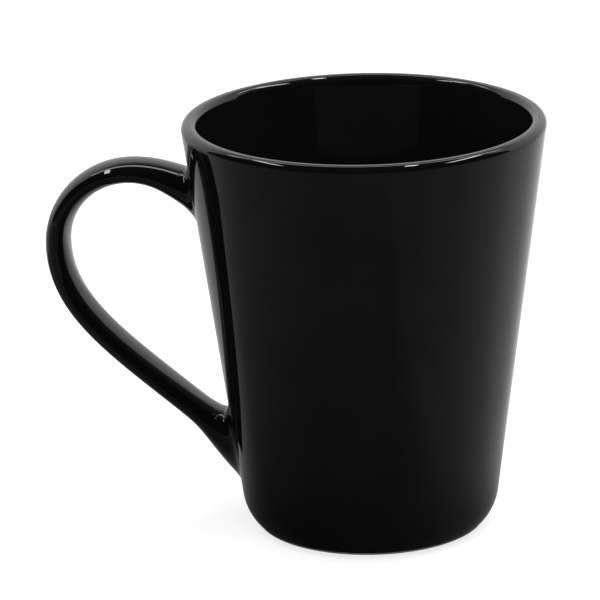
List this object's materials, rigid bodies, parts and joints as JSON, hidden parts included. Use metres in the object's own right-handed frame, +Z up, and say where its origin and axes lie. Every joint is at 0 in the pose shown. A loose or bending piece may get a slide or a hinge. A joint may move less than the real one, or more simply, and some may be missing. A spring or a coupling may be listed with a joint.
{
  "type": "mug",
  "caption": "Tapered round ceramic mug with a straight wall, a rounded lip, a bare clay foot and a curved loop handle.",
  "frame": {"origin": "where the cup's axis meets the plane of the table, at the middle of the foot ring", "axes": "+Z up along the cup's axis towards the open rim; -X from the axis through the middle of the handle; +Y to the left of someone who looks along -X from the axis, so the part is the same on both sides of the XZ plane"},
  "size_m": [0.1272, 0.0906, 0.105],
  "materials": {
    "bare_clay": "matte",
    "strap_clay": "matte",
    "joining_slip": "matte",
    "outer_glaze": "gloss",
    "liner_glaze": "gloss"
  },
  "bodies": {
    "root": {"cup_body": "bare_clay", "handle": "strap_clay", "upper_slip_joint": "joining_slip", "lower_slip_joint": "joining_slip", "outer_glaze": "outer_glaze", "liner_glaze": "liner_glaze", "handle_glaze": "outer_glaze", "base_glaze": "liner_glaze"}
  },
  "joints": []
}
